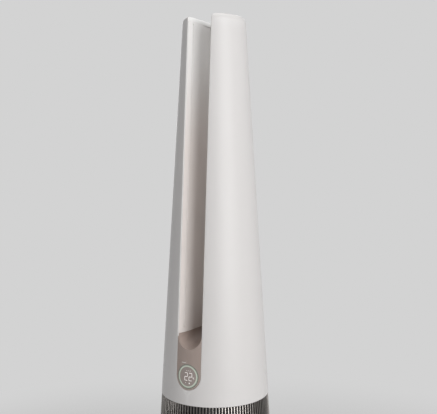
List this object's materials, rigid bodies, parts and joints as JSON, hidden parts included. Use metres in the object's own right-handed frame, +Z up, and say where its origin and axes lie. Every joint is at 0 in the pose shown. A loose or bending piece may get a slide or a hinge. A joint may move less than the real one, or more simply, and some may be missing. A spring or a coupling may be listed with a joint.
{
  "type": "tower fan",
  "caption": "Tapering tower fan with two hollow wings round a full-height air slot, a round display, guide boards and a filter behind a slatted intake.",
  "frame": {"origin": "centre of the base on the floor, under the rubber feet", "axes": "+Z up the tower, -Y towards the front with the display, +X to the right of somebody who looks at the front"},
  "size_m": [0.2666, 0.2666, 1.127],
  "materials": {
    "white_shell": "satin, very fine texture",
    "inner_shell": "satin, warm",
    "taupe_trim": "satin",
    "smoked_lens": "gloss",
    "light_guide": "diffusing",
    "silver_slat": "satin metallic",
    "dark_plastic": "matt",
    "grey_plastic": "matt",
    "acetal": "satin",
    "steel": "brushed",
    "motor_can": "zinc plated",
    "rubber": "matt",
    "circuit_board": "satin",
    "filter_paper": "matt, charcoal",
    "strap_webbing": "matt"
  },
  "bodies": {
    "foot": {"rubber_feet": "rubber", "foot_bottom_plate": "dark_plastic", "ballast_plate": "steel", "foot_shell": "white_shell", "foot_screws": "steel", "slide_ring": "acetal", "hub_retainer": "steel", "retainer_screws": "steel", "swivel_motor": "grey_plastic", "cord_gland": "rubber"},
    "swivel_drive": {"swivel_pinion": "acetal"},
    "tower": {"chassis_plate": "steel", "turntable_gear": "acetal", "lower_skirt": "white_shell", "power_board": "circuit_board", "filter_floor": "dark_plastic", "side_posts": "dark_plastic", "fan_deck": "dark_plastic", "bellmouth": "grey_plastic", "inlet_guard": "steel", "fan_duct": "dark_plastic", "diffuser": "dark_plastic", "fan_motor": "motor_can", "motor_dampers": "rubber", "front_grille": "silver_slat", "left_outer_cover": "white_shell", "right_outer_cover": "white_shell", "left_front_panel": "inner_shell", "right_front_panel": "inner_shell", "left_rear_panel": "inner_shell", "right_rear_panel": "inner_shell", "left_top_cap": "white_shell", "right_top_cap": "white_shell", "left_air_vanes": "grey_plastic", "right_air_vanes": "grey_plastic", "air_trough": "taupe_trim", "front_fascia": "taupe_trim", "light_ring": "light_guide", "display_lens": "smoked_lens", "display_board": "circuit_board", "status_lamp": "light_guide", "rear_fascia": "taupe_trim", "air_sensor": "dark_plastic", "main_board": "circuit_board", "left_guide_motor": "motor_can", "right_guide_motor": "motor_can"},
    "release": {"cover_release": "white_shell"},
    "fan": {"impeller": "grey_plastic", "motor_shaft": "steel"},
    "rear_cover": {"rear_grille": "silver_slat"},
    "filter": {"filter_media": "filter_paper", "filter_top_cap": "dark_plastic", "filter_bottom_cap": "dark_plastic", "filter_sleeve": "dark_plastic", "filter_strap": "strap_webbing"},
    "left_guide": {"left_guide_board": "inner_shell"},
    "right_guide": {"right_guide_board": "inner_shell"},
    "left_guide_drive": {"left_guide_pinion": "acetal"},
    "right_guide_drive": {"right_guide_pinion": "acetal"}
  },
  "joints": [
    {"name": "tower_swivel", "type": "hinge", "parent": "foot", "child": "tower", "pos_m": [0, 0, 0.0235], "axis": [0, 0, 1], "range_deg": [-45, 45]},
    {"name": "swivel_drive_spin", "type": "hinge", "parent": "foot", "child": "swivel_drive", "pos_m": [0.0675, 0, 0.0235], "axis": [0, 0, 1], "range_deg": [-180, 180]},
    {"name": "fan_spin", "type": "hinge", "parent": "tower", "child": "fan", "pos_m": [0, 0, 0.36], "axis": [0, 0, 1], "continuous": true},
    {"name": "rear_cover_slide", "type": "slide", "parent": "tower", "child": "rear_cover", "axis": [0, 1, 0], "range_m": [0, 0.26]},
    {"name": "filter_slide", "type": "slide", "parent": "tower", "child": "filter", "axis": [0, 1, 0], "range_m": [0, 0.195]},
    {"name": "cover_release_press", "type": "slide", "parent": "tower", "child": "release", "axis": [0, -1, 0], "range_m": [0, 0.003], "stiffness_N_per_m": 300},
    {"name": "left_guide_turn", "type": "hinge", "parent": "tower", "child": "left_guide", "pos_m": [0, -0.04236, 0.46478], "axis": [0, 0.062, 0.9981], "range_deg": [0, 29]},
    {"name": "right_guide_turn", "type": "hinge", "parent": "tower", "child": "right_guide", "pos_m": [0, -0.04236, 0.46478], "axis": [0, 0.062, 0.9981], "range_deg": [-29, 0]},
    {"name": "left_guide_drive_spin", "type": "hinge", "parent": "tower", "child": "left_guide_drive", "pos_m": [-0.05796, -0.05786, 0.46574], "axis": [0, 0.062, 0.9981], "range_deg": [-261, 0]},
    {"name": "right_guide_drive_spin", "type": "hinge", "parent": "tower", "child": "right_guide_drive", "pos_m": [0.05796, -0.05786, 0.46574], "axis": [0, 0.062, 0.9981], "range_deg": [0, 261]}
  ],
  "couplings": [
    {"joint": "swivel_drive_spin", "follows": "tower_swivel", "ratio": -4},
    {"joint": "filter_slide", "follows": "rear_cover_slide", "ratio": 0.75},
    {"joint": "right_guide_turn", "follows": "left_guide_turn", "ratio": -1},
    {"joint": "left_guide_drive_spin", "follows": "left_guide_turn", "ratio": -9},
    {"joint": "right_guide_drive_spin", "follows": "left_guide_turn", "ratio": 9}
  ]
}
